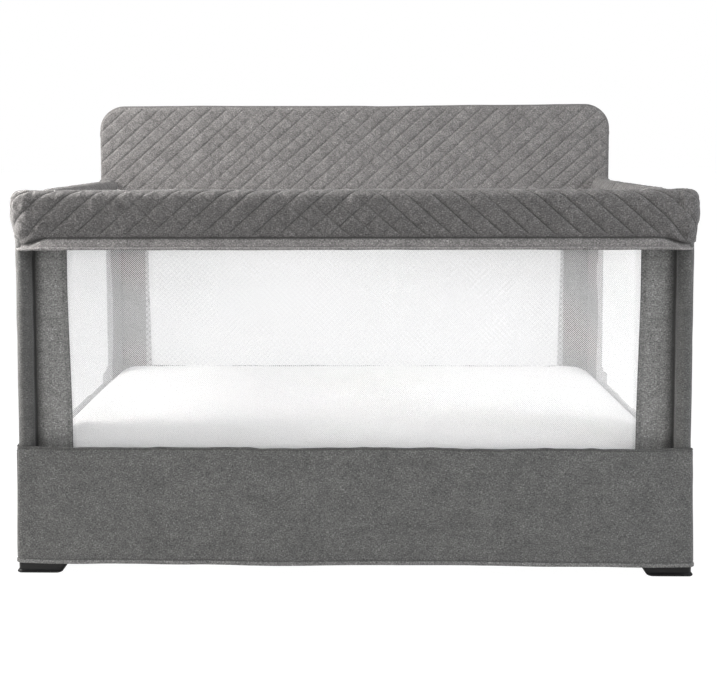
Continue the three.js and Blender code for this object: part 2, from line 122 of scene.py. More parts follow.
def make_world(ambient=0.15):
    """White to look at, and an even, softer light from all round."""
    bpy.context.scene.view_settings.view_transform = "Standard"
    world = bpy.data.worlds.new("studio")
    bpy.context.scene.world = world
    world.use_nodes = True
    tree = world.node_tree
    tree.nodes.clear()
    output = tree.nodes.new("ShaderNodeOutputWorld")
    mix = tree.nodes.new("ShaderNodeMixShader")
    ray = tree.nodes.new("ShaderNodeLightPath")
    for slot, strength in ((1, ambient), (2, 1.0)):
        background = tree.nodes.new("ShaderNodeBackground")
        background.inputs["Strength"].default_value = strength
        background.inputs["Color"].default_value = (1, 1, 1, 1)
        tree.links.new(background.outputs[0], mix.inputs[slot])
    tree.links.new(ray.outputs["Is Camera Ray"], mix.inputs[0])
    tree.links.new(mix.outputs[0], output.inputs[0])


def make_floor():
    """A pale floor that looks almost white, so that it meets the white background without a line."""
    size = 30
    corners = [(-size, -size, 0), (size, -size, 0), (size, size, 0), (-size, size, 0)]
    mesh = bpy.data.meshes.new("floor")
    mesh.from_pydata(corners, [], [(0, 1, 2, 3)])
    floor = bpy.data.objects.new("floor", mesh)
    bpy.context.scene.collection.objects.link(floor)
    n = Nodes("pale_floor")
    sockets = {"roughness": 0.9, "Emission_Color": (1, 1, 1, 1)}
    seen = n.principled((0.06, 0.06, 0.06), Emission_Strength=0.985, **sockets)
    lighting = n.principled((0.8, 0.8, 0.8), Emission_Strength=0.16, **sockets)
    mix = n.add("MixShader")
    n.put(mix.inputs[0], n.add("LightPath").outputs["Is Camera Ray"])
    n.put(mix.inputs[1], lighting)
    n.put(mix.inputs[2], seen)
    n.finish(mix.outputs[0])
    mesh.materials.append(n.material)


# ---- node helper ----

class Nodes:
    """A material's node tree. Values that its methods take are numbers, colours or sockets."""

    def __init__(self, name):
        self.material = bpy.data.materials.new(name)
        self.material.use_nodes = True
        self.tree = self.material.node_tree
        self.tree.nodes.clear()

    def add(self, kind, **settings):
        node = self.tree.nodes.new("ShaderNode" + kind)
        for key, value in settings.items():
            setattr(node, key, value)
        return node

    def put(self, socket, value):
        if isinstance(value, bpy.types.NodeSocket):
            self.tree.links.new(value, socket)
        elif isinstance(value, tuple) and len(value) == 3 and len(socket.default_value) == 4:
            socket.default_value = (*value, 1)
        else:
            socket.default_value = value

    def math(self, operation, a, b=0.0):
        node = self.add("Math", operation=operation)
        self.put(node.inputs[0], a)
        self.put(node.inputs[1], b)
        return node.outputs[0]

    def total(self, *terms):
        """The sum of values, each times its weight."""
        result = None
        for value, weight in terms:
            part = self.math("MULTIPLY", value, weight)
            result = part if result is None else self.math("ADD", result, part)
        return result

    def attribute(self, name, output):
        return self.add("Attribute", attribute_name=name).outputs[output]

    def split(self, vector):
        node = self.add("SeparateXYZ")
        self.put(node.inputs[0], vector)
        return node.outputs

    def noise(self, vector, cells_per_metre, detail=1.0):
        """Noise with cells of the given density along each axis."""
        scaled = self.add("VectorMath", operation="MULTIPLY")
        self.put(scaled.inputs[0], vector)
        scaled.inputs[1].default_value = cells_per_metre
        node = self.add("TexNoise")
        self.put(node.inputs["Vector"], scaled.outputs[0])
        node.inputs["Scale"].default_value = 1.0
        node.inputs["Detail"].default_value = detail
        return node.outputs["Fac"]

    def ramp(self, value, stops):
        node = self.add("ValToRGB")
        ramp = node.color_ramp
        while len(ramp.elements) < len(stops):
            ramp.elements.new(0.5)
        for element, (place, colour) in zip(ramp.elements, stops):
            element.position = place
            element.color = (*colour, 1)
        self.put(node.inputs[0], value)
        return node.outputs["Color"]

    def mix(self, share, a, b, kind="MIX"):
        node = self.add("Mix", data_type="RGBA", blend_type=kind)
        self.put(node.inputs[0], share)
        self.put(node.inputs[6], a)
        self.put(node.inputs[7], b)
        return node.outputs[2]

    def range(self, value, low, high, to_low=0.0, to_high=1.0):
        node = self.add("MapRange")
        self.put(node.inputs[0], value)
        for socket, number in zip(node.inputs[1:5], (low, high, to_low, to_high)):
            socket.default_value = number
        return node.outputs[0]

    def bump(self, height, distance, strength=1.0, normal=None):
        node = self.add("Bump")
        if normal is not None:
            self.put(node.inputs["Normal"], normal)
        node.inputs["Strength"].default_value = strength
        node.inputs["Distance"].default_value = distance
        self.put(node.inputs["Height"], height)
        return node.outputs[0]

    def principled(self, colour, roughness=0.8, normal=None, **sockets):
        node = self.add("BsdfPrincipled")
        self.put(node.inputs["Base Color"], colour)
        self.put(node.inputs["Roughness"], roughness)
        if normal is not None:
            self.put(node.inputs["Normal"], normal)
        for key, value in sockets.items():
            self.put(node.inputs[key.replace("_", " ")], value)
        return node.outputs[0]

    def finish(self, shader):
        output = self.add("OutputMaterial")
        self.tree.links.new(shader, output.inputs["Surface"])
        return self.material


# ---- materials ----

def tinted(colour, share):
    return tuple(c * share for c in colour)


def melange(name, colour, quilt_pitch=None):
    """Woven melange cloth: flecked yarns both ways, with stitched quilting lines if it has a pitch."""
    n = Nodes(name)
    cloth = n.attribute("cloth", "Vector")
    weft = n.noise(cloth, (260, 780, 1))
    warp = n.noise(cloth, (780, 290, 1))
    flecks = n.noise(cloth, (480, 480, 1), detail=2)
    mottling = n.noise(cloth, (95, 120, 1), detail=2)
    blotches = n.noise(cloth, (26, 32, 1), detail=2)
    yarns = n.total((weft, 0.38), (warp, 0.3), (flecks, 0.32))
    tone = n.total((yarns, 1.0), (mottling, 0.17), (blotches, 0.12))
    tone = n.math("SUBTRACT", tone, (0.17 + 0.12) / 2)    # the same on average as the yarns alone
    look = n.ramp(tone, [(0.36, tinted(colour, 0.4)), (0.46, tinted(colour, 0.82)),
                         (0.54, tinted(colour, 1.16)), (0.65, tinted(colour, 2.1))])
    seam = n.attribute("seam", "Fac")
    height = n.total((yarns, 0.8), (n.noise(cloth, (1500, 1500, 1)), 1.0))
    padding = None
    if quilt_pitch:
        u, v, _ = n.split(cloth)
        line = None
        puckers = n.range(n.noise(cloth, (11, 14, 1)), 0.38, 0.62, 0.4, 2.0)
        puffed = n.math("MULTIPLY", n.noise(cloth, (230, 24, 1), detail=2), puckers)
        for field, sign in (("rising", -1), ("falling", 1)):
            phase = n.math("ADD", u, n.math("MULTIPLY", v, sign * QUILT_LEAN))
            phase = n.math("DIVIDE", phase, quilt_pitch)
            away = n.math("ABSOLUTE", n.math("SUBTRACT", phase, n.math("ROUND", phase)))
            strength = n.attribute(field, "Fac")
            stitched = n.math("MULTIPLY", n.range(away, 0.05, 0.012), strength)
            line = stitched if line is None else n.math("MAXIMUM", line, stitched)
            valley = n.math("POWER", n.range(away, 0.24, 0.0), 2.0)
            puffed = n.math("SUBTRACT", puffed, n.math("MULTIPLY", valley, strength))
        # The sewn lines are painted dark: partly the darker thread, and partly painted shade in the sewn
        # valleys.
        seam = n.math("MAXIMUM", seam, n.math("MULTIPLY", line, 0.5))
        height = n.math("SUBTRACT", height, n.math("MULTIPLY", line, 1.5))
        padding = n.bump(puffed, 0.001)
    # Painted light: where its painted-light field is set, the cloth is painted up to twice as light, for
    # light that falls on its folded edges or shines through it.
    painted_lit_look = n.mix(1.0, look, (2.0, 2.0, 2.0), "MULTIPLY")
    look = n.mix(n.attribute("lift", "Fac"), look, painted_lit_look)
    look = n.mix(seam, look, tinted(colour, 0.3))
    shader = n.principled(look, roughness=0.92, normal=n.bump(height, 0.0005, 0.8, padding),
                          Sheen_Weight=0.18, Sheen_Roughness=0.5)
    return n.finish(shader)


def mesh_net(name):
    """White knitted net with rounded diamond holes, denser at its hems."""
    n = Nodes(name)
    hole_pitch = 0.003
    u, v, _ = n.split(n.attribute("cloth", "Vector"))
    waves = []
    for kind in ("ADD", "SUBTRACT"):
        along = n.math("MULTIPLY", n.math(kind, u, v), math.pi / hole_pitch)
        waves.append(n.math("ABSOLUTE", n.math("SINE", along)))
    hole = n.range(n.math("MULTIPLY", *waves), 0.24, 0.38)
    open_share = n.math("MULTIPLY", hole, n.range(n.attribute("seam", "Fac"), 0, 1, 1.0, 0.8))
    yarn = n.noise(n.attribute("cloth", "Vector"), (900, 900, 1))
    colour = n.ramp(yarn, [(0.35, (0.77, 0.775, 0.79)), (0.65, (0.87, 0.87, 0.88))])
    thread = n.principled(colour, roughness=0.75, normal=n.bump(yarn, 0.0003), Alpha=1.0,
                          Sheen_Weight=0.1)
    clear = n.add("BsdfTransparent").outputs[0]
    mix = n.add("MixShader")
    n.put(mix.inputs[0], open_share)
    n.tree.links.new(thread, mix.inputs[1])
    n.tree.links.new(clear, mix.inputs[2])
    return n.finish(mix.outputs[0])


def sheet_cotton(name):
    """A white fitted sheet: a fine plain weave with faint soft creases."""
    n = Nodes(name)
    cloth = n.attribute("cloth", "Vector")
    weave = n.noise(cloth, (1100, 1100, 1), detail=2)
    soft = n.noise(cloth, (22, 30, 1), detail=3)
    colour = n.ramp(soft, [(0.3, (0.87, 0.87, 0.875)), (0.7, (0.9, 0.9, 0.905))])
    height = n.total((weave, 0.15), (soft, 1.0))
    return n.finish(n.principled(colour, roughness=0.85, normal=n.bump(height, 0.0012, 0.5),
                                 Sheen_Weight=0.15))


def hard(name, dark, light, roughness, grain, depth, **sockets):
    """A moulded, painted or plated finish: a grain of two tones with matching bumps and gloss."""
    n = Nodes(name)
    place = n.add("TexCoord").outputs["Object"]
    fine = n.noise(place, (grain, grain, grain), detail=2)
    broad = n.noise(place, (9, 9, 9), detail=3)
    tone = n.total((fine, 0.5), (broad, 0.5))
    colour = n.ramp(tone, [(0.4, dark), (0.62, light)])
    gloss = n.range(broad, 0.3, 0.7, roughness - 0.06, roughness + 0.06)
    return n.finish(n.principled(colour, roughness=gloss, normal=n.bump(fine, depth), **sockets))


def board_grain(name):
    """Brown fibreboard: pressed fibres with pale specks."""
    n = Nodes(name)
    place = n.add("TexCoord").outputs["Object"]
    fibres = n.noise(place, (240, 700, 240), detail=4)
    broad = n.noise(place, (12, 12, 12), detail=2)
    tone = n.total((fibres, 0.7), (broad, 0.3))
    colour = n.ramp(tone, [(0.38, (0.14, 0.085, 0.045)), (0.62, (0.27, 0.18, 0.105))])
    return n.finish(n.principled(colour, roughness=0.75, normal=n.bump(fibres, 0.0004)))


# ---- lines, grids and meshes ----

def smooth(x, start, end):
    """0 before start, 1 after end, with a smooth step between."""
    t = np.clip((np.asarray(x, float) - start) / (end - start), 0, 1)
    return t * t * (3 - 2 * t)


def hill(x, width):
    """1 at 0, falling away smoothly on both sides to almost 0 at twice the width."""
    return np.exp(-((x / width) ** 2))


def noise(u, v, cell, seed):
    """Smooth noise from -1 to 1. cell is its size along u and v, in metres."""
    table = np.random.default_rng(seed).uniform(-1, 1, (256, 256))
    x, y = np.asarray(u) / cell[0] + 99, np.asarray(v) / cell[1] + 99
    i, j = np.floor(x).astype(int), np.floor(y).astype(int)
    fx, fy = smooth(x - i, 0, 1), smooth(y - j, 0, 1)
    low, high = (table[i % 256, k % 256] * (1 - fx) + table[(i + 1) % 256, k % 256] * fx
                 for k in (j, j + 1))
    return low * (1 - fy) + high * fy


def length_along(points):
    """The distance of each point of a line from its start."""
    steps = np.linalg.norm(np.diff(points, axis=0), axis=1)
    return np.concatenate([[0], np.cumsum(steps)])


def resample(points, spacing):
    """Evenly spaced points on a line of straight steps."""
    points = np.asarray(points, float)
    along = length_along(points)
    at = np.linspace(0, along[-1], max(2, round(along[-1] / spacing) + 1))
    return np.stack([np.interp(at, along, c) for c in points.T], -1)


def smooth_line(points, spacing):
    """Evenly spaced points on a smooth line through the given ones (Catmull-Rom)."""
    p = np.asarray(points, float)
    p = np.vstack([2 * p[0] - p[1], p, 2 * p[-1] - p[-2]])
    t = np.linspace(0, 1, 24, endpoint=False)[:, None]
    parts = [0.5 * (2 * b + (c - a) * t + (2 * a - 5 * b + 4 * c - d) * t**2
                    + (3 * b - a - 3 * c + d) * t**3)
             for a, b, c, d in zip(p, p[1:], p[2:], p[3:])]
    return resample(np.vstack([*parts, p[-2]]), spacing)


def arc(centre, radius, start, end, count):
    """Points of an arc in a plane. Its angles are in degrees."""
    a = np.radians(np.linspace(start, end, count))
    return np.stack([centre[0] + radius * np.cos(a), centre[1] + radius * np.sin(a)], -1)


def eased_steps(half, edge, count, turns):
    """Places from -half to half: count even ones, and turns more at each end, closer and closer."""
    inside = np.linspace(-(half - edge), half - edge, count)
    turn = np.sin(np.linspace(0, math.pi / 2, turns + 1)[1:])
    return np.concatenate([-(half - edge) - edge * turn[::-1], inside, half - edge + edge * turn])


def standing_grid(line, z):
    """Points over a plan line at the given heights, with their places along and up the cloth."""
    u, v = np.meshgrid(length_along(line), z, indexing="ij")
    plan = np.broadcast_to(line[:, None], (*u.shape, 2))
    return np.concatenate([plan, v[..., None]], -1), u, v


def normals(grid, toward):
    """The unit normals of a grid of points, on the side that looks toward a direction on the whole."""
    n = np.cross(np.gradient(grid, axis=0), np.gradient(grid, axis=1))
    n /= np.maximum(np.linalg.norm(n, axis=-1, keepdims=True), 1e-12)
    return n if (n @ np.array(toward, float)).mean() > 0 else -n


def grid_faces(rows, columns, around=False):
    """The quads of a grid. With around, its last column joins its first."""
    i, j = np.meshgrid(np.arange(rows - 1), np.arange(columns - (not around)), indexing="ij")
    k = (j + 1) % columns
    return np.stack([i * columns + j, (i + 1) * columns + j, (i + 1) * columns + k,
                     i * columns + k], -1).reshape(-1, 4)


def grid_border(rows, columns):
    """The points at the edge of a grid, in order round it."""
    last = rows * columns - 1
    return [*range(columns), *(np.arange(1, rows) * columns + columns - 1),
            *(last - np.arange(1, columns)), *(np.arange(rows - 2, 0, -1) * columns)]


def make_piece(name, points, faces, material, u, v, **fields):
    """A smooth mesh object with its faces turned outwards. u and v are its places in the flat cloth."""
    mesh = bpy.data.meshes.new(name)
    mesh.from_pydata(points.tolist(), [], [list(map(int, f)) for f in faces])
    mesh.materials.append(material)
    cloth = mesh.attributes.new("cloth", "FLOAT_VECTOR", "POINT").data
    cloth.foreach_set("vector", np.stack([u, v, 0 * u], -1).astype(np.float32).ravel())
    for key, values in fields.items():
        data = mesh.attributes.new(key, "FLOAT", "POINT").data
        data.foreach_set("value", values.astype(np.float32).ravel())
    mesh.polygons.foreach_set("use_smooth", np.ones(len(mesh.polygons), bool))
    made = bmesh.new()
    made.from_mesh(mesh)
    bmesh.ops.recalc_face_normals(made, faces=made.faces)
    made.to_mesh(mesh)
    made.free()
    obj = bpy.data.objects.new(name, mesh)
    bpy.context.scene.collection.objects.link(obj)
    return obj


def thick_sheet(name, grid, thickness, toward, material, u, v, **fields):
    """A sheet of real thickness. grid is its outer face, and toward a direction that this looks."""
    rows, columns = grid.shape[:2]
    inner = grid - normals(grid, toward) * thickness
    outer_faces = grid_faces(rows, columns)
    count = rows * columns
    border = grid_border(rows, columns)
    edge = [(a, b, b + count, a + count) for a, b in zip(border, border[1:] + border[:1])]
    points = np.concatenate([grid.reshape(-1, 3), inner.reshape(-1, 3)])
    faces = np.concatenate([outer_faces, outer_faces[:, ::-1] + count, np.array(edge)])
    doubled = {k: np.tile(f.ravel(), 2) for k, f in {"u": u, "v": v, **fields}.items()}
    return make_piece(name, points, faces, material, **doubled)


def loft(name, rings, material, u, v, **fields):
    """A closed body through rings of points, with a flat face at each end."""
    rows, columns = rings.shape[:2]
    faces = grid_faces(rows, columns, around=True).tolist()
    faces += [list(range(columns)), [(rows - 1) * columns + j for j in range(columns)]]
    return make_piece(name, rings.reshape(-1, 3), faces, material, u, v, **fields)


# ---- what the padding has in common ----

QUILT_LEAN = 1.12                # the diamonds are this much wider than they are tall
ACROSS_LINE = 0.67               # a distance along the cloth, measured square to a sewn line
RAIL_PITCH = 0.038
HEAD_PITCH = 0.034


def diagonals(u, v, pitch):
    """For the rising and the falling lines: the place between two, and the distance from the nearest."""
    for sign in (-1, 1):
        phase = (u + sign * QUILT_LEAN * v) / pitch
        yield phase, np.abs(phase - np.round(phase)) * pitch * ACROSS_LINE


def quilting(u, v, pitch, depth, rising, falling):
    """How far quilted cloth stands in from its full height: two sets of sewn diagonals."""
    sunk = np.zeros_like(u)
    pillow = np.ones_like(u)
    for (phase, away), share in zip(diagonals(u, v, pitch), (rising, falling)):
        sunk = np.maximum(sunk, share * hill(away, 0.003))
        pillow = pillow * (1 - share * (1 - np.abs(np.sin(math.pi * phase)) ** 0.5))
    return -depth * (0.62 * sunk + 0.38 * (1 - pillow))


def pull(u, v, share, seed):
    """The share of a set of sewn lines, pulled tighter in some places than in others."""
    return np.clip(share * (0.85 + 0.45 * noise(u, v, (0.07, 0.05), seed)), 0, 1)


def creased(height, u, v, creases):
    """A height with folds pressed into it, on the left and on the right. They fade at their tips.

    Each fold is its start, its end, its width and its depth.
    """
    for start, end, width, depth in creases:
        for sign in (-1, 1):
            a, b = np.array([start, end]) * (sign, 1)
            p = np.stack([u, v], -1) - a
            share = np.clip(p @ (b - a) / ((b - a) @ (b - a)), 0, 1)
            away = np.linalg.norm(p - share[..., None] * (b - a), axis=-1)
            fading = np.sin(math.pi * np.clip(share, 0.04, 0.96))
            height = height - depth * hill(away, width) * fading
    return height


def sewn_points(u, v, pitch, rising, falling):
    """How firmly the sewn diagonals hold each point of the cloth, from 0 to 1."""
    held = np.zeros_like(u)
    for (_, away), share in zip(diagonals(u, v, pitch), (rising, falling)):
        held = np.maximum(held, np.where(away < 0.0016, share, 0))
    return held


def settle(grid, held, slack, frames=12, most=0.0022):
    """Cloth that fills out and puckers between the points that hold it, by Blender's cloth solver.

    slack is how much longer the cloth is than the line that it is sewn along. No point moves
    further than most.
    """
    rows, columns = grid.shape[:2]
    held = held.copy()
    held[[0, 1, -2, -1]] = 1
    held[:, [0, 1, -2, -1]] = 1
    mesh = bpy.data.meshes.new("settling")
    mesh.from_pydata(grid.reshape(-1, 3).tolist(), [], grid_faces(rows, columns).tolist())
    obj = bpy.data.objects.new("settling", mesh)
    bpy.context.scene.collection.objects.link(obj)
    group = obj.vertex_groups.new(name="held")
    levels = np.round(held.ravel() * 20) / 20
    for level in np.unique(levels[levels > 0]):
        group.add(np.flatnonzero(levels == level).tolist(), float(level), "REPLACE")
    cloth = obj.modifiers.new("cloth", "CLOTH")
    settings = cloth.settings
    settings.vertex_group_mass = "held"
    settings.pin_stiffness = 5
    settings.quality = 4
    settings.mass = 0.1
    settings.bending_stiffness = 0.3
    settings.shrink_min = -slack
    settings.use_pressure = True
    settings.uniform_pressure_force = 4
    settings.effector_weights.gravity = 0
    cloth.collision_settings.use_collision = False
    for number in range(1, frames + 1):
        bpy.context.scene.frame_set(number)
    points = np.empty(grid.size, np.float32)
    settled = obj.evaluated_get(bpy.context.evaluated_depsgraph_get()).data
    settled.vertices.foreach_get("co", points)
    bpy.data.objects.remove(obj)
    bpy.data.meshes.remove(mesh)
    bpy.context.scene.frame_set(1)
    moved = points.reshape(grid.shape) - grid
    far = np.maximum(np.linalg.norm(moved, axis=-1, keepdims=True), 1e-9)
    return grid + moved * np.tanh(far / most) * most / far


# Across a rim pad 42 mm deep and 91 mm tall: distance from its inner face, and height over its
# lower edge, in millimetres. The quilted cloth goes up inside, over the top and down outside to a
# seam. A plain lip and a piping finish it.
PAD_DEPTH = 42
PAD_HEIGHT = 0.091
QUILTED_LINE = [(2, 1), (0, 24), (0.5, 52), (2.5, 75), (9, 87.5), (20, 91), (30, 90), (36.5, 87),
                (40.4, 81.5), (41.5, 74), (41.9, 60), (41.9, 46), (41.6, 31), (41, 24), (39.2, 19.8)]
LIP_LINE = [(39.2, 19.8), (40.8, 16.5), (43.2, 11), (45, 6.8)]
PIPING_LINE = [(45, 6.8), (46.6, 6.4), (47.8, 4.6), (47, 2.4), (45, 2.3)]


def pad_profile(spacing):
    """The share of the depth, the height and the cloth's own length, with 0 length at the seam."""
    quilted = smooth_line(QUILTED_LINE, spacing)
    lip = smooth_line(LIP_LINE, spacing * 0.7)
    piping = smooth_line(PIPING_LINE, spacing * 0.4)
    line = np.vstack([quilted, lip[1:], piping[1:]])
    along = length_along(line)
    seam = along[len(quilted) - 1]
    lip_end = along[len(quilted) + len(lip) - 2]
    return line[:, 0] / PAD_DEPTH, line[:, 1] * MM, (seam - along) * MM, (seam - lip_end) * MM


def pad_grid(inner, outer, bottom, height, spacing=2.6):
    """A rim pad's outer face between two plan lines, with its cloth coordinates and its fields."""
    share, rise, v, lip_end = pad_profile(spacing)
    plan = inner[:, None] + (outer - inner)[:, None] * share[None, :, None]
    z = bottom + rise * height / PAD_HEIGHT
    grid = np.concatenate([plan, np.broadcast_to(z[None, :, None], (*plan.shape[:2], 1))], -1)
    u = np.broadcast_to(length_along(outer)[:, None], plan.shape[:2]).copy()
    v = np.broadcast_to(v, u.shape).copy()
    seam = hill(v, 0.0014) + 0.6 * hill(v - lip_end, 0.001)
    # Painted light: the lip and the piping are painted lighter, for the light from above that falls on
    # them.
    lift = 0.5 * smooth(-v, 0.001, 0.003) + 0.3 * smooth(lip_end - v, 0.0005, 0.0015)
    return grid, u, v, np.clip(seam, 0, 1), lift


# ---- padded rim ----

PAD_SKIN = 0.0035                # cloth and wadding together
SIDE_WIDTH = 0.037
FRONT_DEPTH = 0.042
OUTER_CORNER = 0.025
INNER_CORNER = 0.006
RIM_DROP = 0.0042                # the tops of the sides are this much lower than the front
# on the flat cloth of the front pad: along it from its middle, and up from the seam
CORNER_CREASES = [
    ((0.452, 0.002), (0.498, -0.006), 0.0045, 0.0026), ((0.474, 0.013), (0.522, 0.001), 0.0055, 0.003),
    ((0.492, 0.03), (0.536, 0.012), 0.007, 0.0018), ((0.436, 0.02), (0.47, 0.004), 0.005, 0.0008),
    ((0.47, -0.005), (0.505, -0.0135), 0.003, 0.0014), ((0.505, -0.006), (0.56, -0.01), 0.004, 0.002),
    ((0.479, 0.086), (0.474, 0.026), 0.0045, 0.0022), ((0.489, 0.08), (0.494, 0.03), 0.003, 0.0007)]


def rim_plan(x, y, radius, end_y):
    """A line round the front in plan: forward on the left, round, across, round and back."""
    side_steps, corner_steps, bar_steps = 38, 24, 380
    left = np.stack([np.full(side_steps, -x), np.linspace(end_y, -y + radius, side_steps)], -1)
    turn = arc((-x + radius, -y + radius), radius, 180, 270, corner_steps)
    bar = np.stack([np.linspace(-x + radius, x - radius, bar_steps), np.full(bar_steps, -y)], -1)
    half = np.vstack([left[:-1], turn[:-1]])
    return np.vstack([half, bar, half[::-1] * np.array([-1, 1])])


def make_front_pad(material):
    low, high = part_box("front_rail_cover")
    outer = rim_plan(high.x, -low.y, OUTER_CORNER, high.y)
    inner = rim_plan(high.x - SIDE_WIDTH, -low.y - FRONT_DEPTH, INNER_CORNER, high.y)
    grid, u, v, seam, lift = pad_grid(inner, outer, low.z, high.z - low.z)
    u -= u.max() / 2
    side = np.abs(u)
    # the seam sinks at the corners, and the pad puffs out there and draws in below
    corner = smooth(side, 0.448, 0.500)
    spread = np.where(v > 0, 0.030, 0.012)
    grid[..., 2] -= 0.0095 * corner * hill(v, spread)
    middle = (inner.mean(0) + outer.mean(0)) / 2
    height_up = grid[..., 2] - low.z
    slack = np.where(u < 0, 1.0, 0.45)
    under = np.where(u < 0, 0.0165, 0.0205)
    drawn_in = corner * (0.0085 * slack * (1 - smooth(height_up, 0.004, 0.046))
                         + under * (1 - smooth(height_up, 0.003, 0.012)))
    puffed = 0.0035 * smooth(side, 0.46, 0.51) * hill(height_up - 0.058, 0.022)
    grid[..., :2] -= (grid[..., :2] - middle) * (drawn_in - puffed)[..., None]
    back = smooth(grid[..., 1], low.y + 0.01, low.y + 0.1)
    grid[..., 2] -= RIM_DROP * back * height_up / PAD_HEIGHT
    out = normals(grid, UP)
    face = smooth(v, 0.0, 0.012)
    lean = smooth(u, -0.28, 0.22)
    rising = pull(u, v, 1.0 - 0.6 * lean, 5) * face
    falling = pull(u, v, 0.35 + 0.65 * lean, 6) * face
    height = quilting(u, v, RAIL_PITCH, 0.0021, rising, falling)
    height += 0.0006 * noise(u, v, (0.05, 0.03), 1) + 0.0003 * noise(u, v, (0.012, 0.03), 2) * face
    wrinkled = smooth(noise(u, v, (0.12, 0.2), 4), -0.1, 0.6) * smooth(v, 0.045, 0.07)
    height += 0.0007 * noise(u, v, (0.007, 0.05), 3) * wrinkled
    height = creased(height, u, v, CORNER_CREASES)
    held = np.maximum(sewn_points(u, v, RAIL_PITCH, rising, falling), v < 0.001)
    grid = settle(grid + out * height[..., None], held, 0.018)
    pad = thick_sheet("front_rail_pad", grid, PAD_SKIN, UP, material, u, v,
                      seam=seam, lift=lift, rising=rising, falling=falling)
    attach(pad, "front_frame")
    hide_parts("front_rail_cover")


def side_pad_grid(sign, x_out, y_from, y_to, bottom, height, seed):
    """A straight rim pad along one side, its cloth coordinates and its fields."""
    count = round(abs(y_from - y_to) / 0.003) + 1
    y = np.linspace(y_from, y_to, count)
    outer = np.stack([np.full(count, sign * x_out), y], -1)
    inner = np.stack([np.full(count, sign * (x_out - SIDE_WIDTH)), y], -1)
    grid, u, v, seam, lift = pad_grid(inner, outer, bottom, height, 3.0)
    out = normals(grid, UP)
    face = smooth(v, 0.0, 0.012)
    sewn = pull(u, v, 0.8, seed + 2) * face
    rise = quilting(u, v, RAIL_PITCH, 0.0015, sewn, sewn)
    rise += 0.0005 * noise(u, v, (0.06, 0.03), seed) + 0.0002 * noise(u, v, (0.01, 0.04), seed + 1)
    fields = {"seam": seam, "lift": lift, "rising": sewn, "falling": sewn}
    held = np.maximum(sewn_points(u, v, RAIL_PITCH, sewn, sewn), v < 0.001)
    return settle(grid + out * rise[..., None], held, 0.015), u, v, fields


def make_side_pads(material):
    """On each side, a rear pad and a front one, which meet halfway between the middle and the corner
    pivot.
    """
    low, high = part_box("headboard_cover")
    rim_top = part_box("front_rail_cover")[1].z - RIM_DROP
    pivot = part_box("left_rail_rear_tube")[1].y - 0.009    # the tube ends 9 mm past its pivot
    join = pivot / 2
    half_gap = 0.0005
    rear_end, front_end = 0.350, -0.246
    halves = (("rear", rear_end, join + half_gap, 20), ("front", join - half_gap, front_end, 30))
    for side, sign in SIDES:
        centre_x, centre_z = sign * (high.x - SIDE_WIDTH / 2), 0.536
        for half, y_from, y_to, seed in halves:
            grid, u, v, fields = side_pad_grid(sign, high.x, y_from, y_to, low.z, rim_top - low.z,
                                               seed + sign)
            y = grid[..., 1]
            if half == "rear":
                puff = hill(y - 0.308, 0.012)
                tail = smooth(y, 0.326, 0.352)
                narrower, lower = 0.5 * tail - 0.12 * puff, 0.12 * tail - 0.13 * puff
            else:
                tail = 1 - smooth(y, -0.225, -0.155)
                narrower, lower = 0.28 * tail, 0.12 * tail
            grid[..., 0] -= (grid[..., 0] - centre_x) * narrower
            grid[..., 2] -= (grid[..., 2] - centre_z) * lower
            pad = thick_sheet(f"{side}_{half}_rim_pad", grid, PAD_SKIN, UP, material, u, v, **fields)
            if half == "rear":
                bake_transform(pad)
            else:
                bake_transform(pad)
            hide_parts(f"{side}_rail_{half}_cover")


# ---- headboard ----

